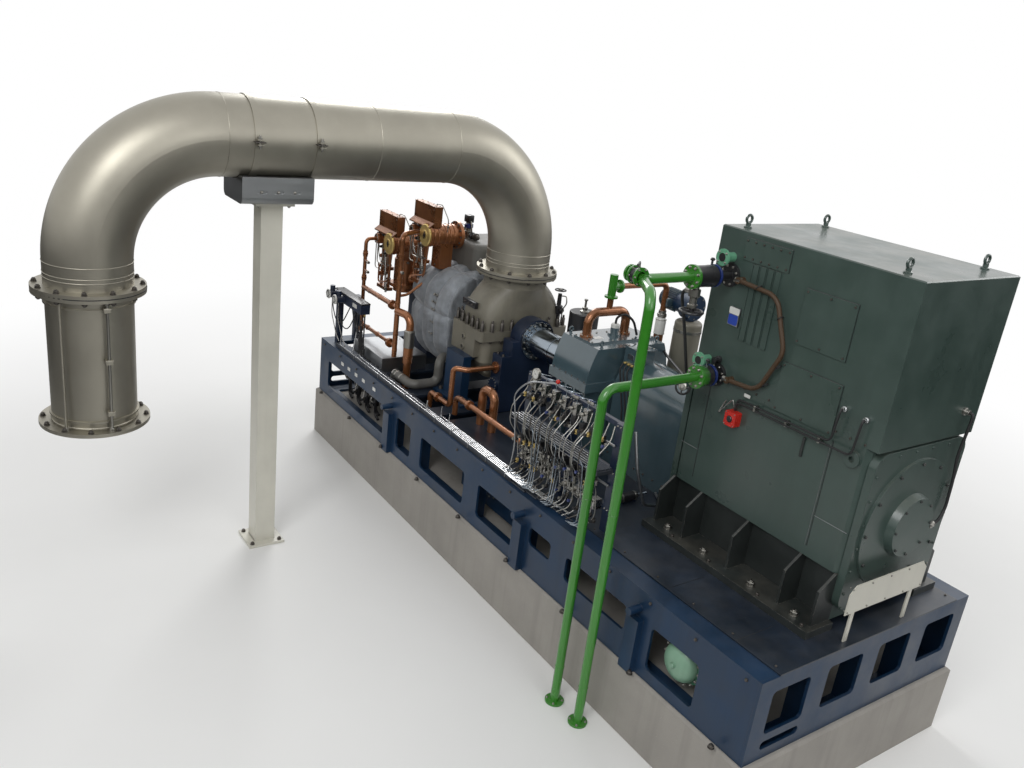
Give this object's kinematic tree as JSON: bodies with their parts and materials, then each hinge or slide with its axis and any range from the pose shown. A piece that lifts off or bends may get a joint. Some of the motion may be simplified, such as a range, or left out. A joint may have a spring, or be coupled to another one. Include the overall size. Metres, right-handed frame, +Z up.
{
  "type": "steam turbine generator set",
  "caption": "Geared steam turbine and air-cooled generator on a welded base frame and foundation block, with an overhead exhaust duct on a column and cooling water risers",
  "frame": {"origin": "On the ground, in the middle of the foundation block's underside.", "axes": "+X runs along the shaft towards the generator end, +Y away from the operating side, on which the exhaust duct comes down, and +Z up."},
  "size_m": [7.5, 6.1675, 4.3983],
  "materials": {
    "concrete": "cast concrete, wood-float top, dusty and oil stained",
    "frame_blue": "satin deep blue enamel on welded steel plate",
    "pedestal_blue": "dark blue enamel on castings, oily",
    "casing_grey": "heat-resisting aluminium paint on cast steel",
    "insulation_cloth": "silver-grey coated glass cloth, quilted and laced",
    "actuator_brown": "copper-brown enamel with worn edges",
    "aluminium_sheet": "plain rolled sheet, lightly scratched",
    "duct_steel": "bead-blasted stainless steel, dull",
    "gear_teal": "hammered blue-grey enamel",
    "generator_grey": "semi-gloss grey-green enamel",
    "pipe_green": "gloss green enamel",
    "jade_green": "pale green enamel",
    "signal_red": "gloss moulded plastic",
    "board_white": "white enamel, blank",
    "hose_brown": "ribbed rubber hose with a brown braid",
    "tube_steel": "drawn stainless tube"
  },
  "bodies": {
    "root": {"accumulator": "pedestal_blue", "cable_tray": "tube_steel", "call_box": "signal_red", "control_oil_pipes": "actuator_brown", "control_valve_actuator": "actuator_brown", "cooler_housing": "generator_grey", "cross_members": "frame_blue", "deck_plating": "frame_blue", "drive_end_shield": "generator_grey", "duct_clamps": "duct_steel", "duct_column": "board_white", "duct_outer_elbow": "duct_steel", "duct_run": "duct_steel", "duct_saddle": "aluminium_sheet", "duct_turbine_elbow": "duct_steel", "end_board": "board_white", "exhaust_casing_lower": "casing_grey", "exhaust_casing_upper": "casing_grey", "expansion_joint": "duct_steel", "extractor_motor": "frame_blue", "far_feet": "pedestal_blue", "far_side_girder": "frame_blue", "foundation_block": "concrete", "front_pedestal": "pedestal_blue", "gearbox_case": "gear_teal", "gearbox_lid": "gear_teal", "generator_coupling_guard": "gear_teal", "generator_end_frame": "frame_blue", "generator_housing": "generator_grey", "hatch_covers": "generator_grey", "instrument_rack": "pedestal_blue", "insulated_casing": "insulation_cloth", "insulated_drain": "insulation_cloth", "near_feet": "pedestal_blue", "near_side_girder": "frame_blue", "oil_cooler": "jade_green", "oil_supply_pipes": "actuator_brown", "oil_tank": "frame_blue", "outer_end_shield": "generator_grey", "rack_tubes": "tube_steel", "rear_pedestal": "pedestal_blue", "return_nozzle": "pipe_green", "return_riser": "pipe_green", "sheet_cover": "aluminium_sheet", "steam_chest": "insulation_cloth", "stop_valve_actuator": "actuator_brown", "stop_valve_body": "actuator_brown", "supply_nozzle": "pipe_green", "supply_riser": "pipe_green", "terminal_box": "gear_teal", "terminal_stand": "pedestal_blue", "turbine_coupling_guard": "gear_teal", "turbine_end_frame": "frame_blue", "turbine_feet": "frame_blue", "valve_blocks": "tube_steel", "vapour_pot": "casing_grey", "vent_arch": "actuator_brown", "vent_branch": "pipe_green", "vent_flanges": "jade_green", "vent_hose": "hose_brown"}
  },
  "joints": []
}
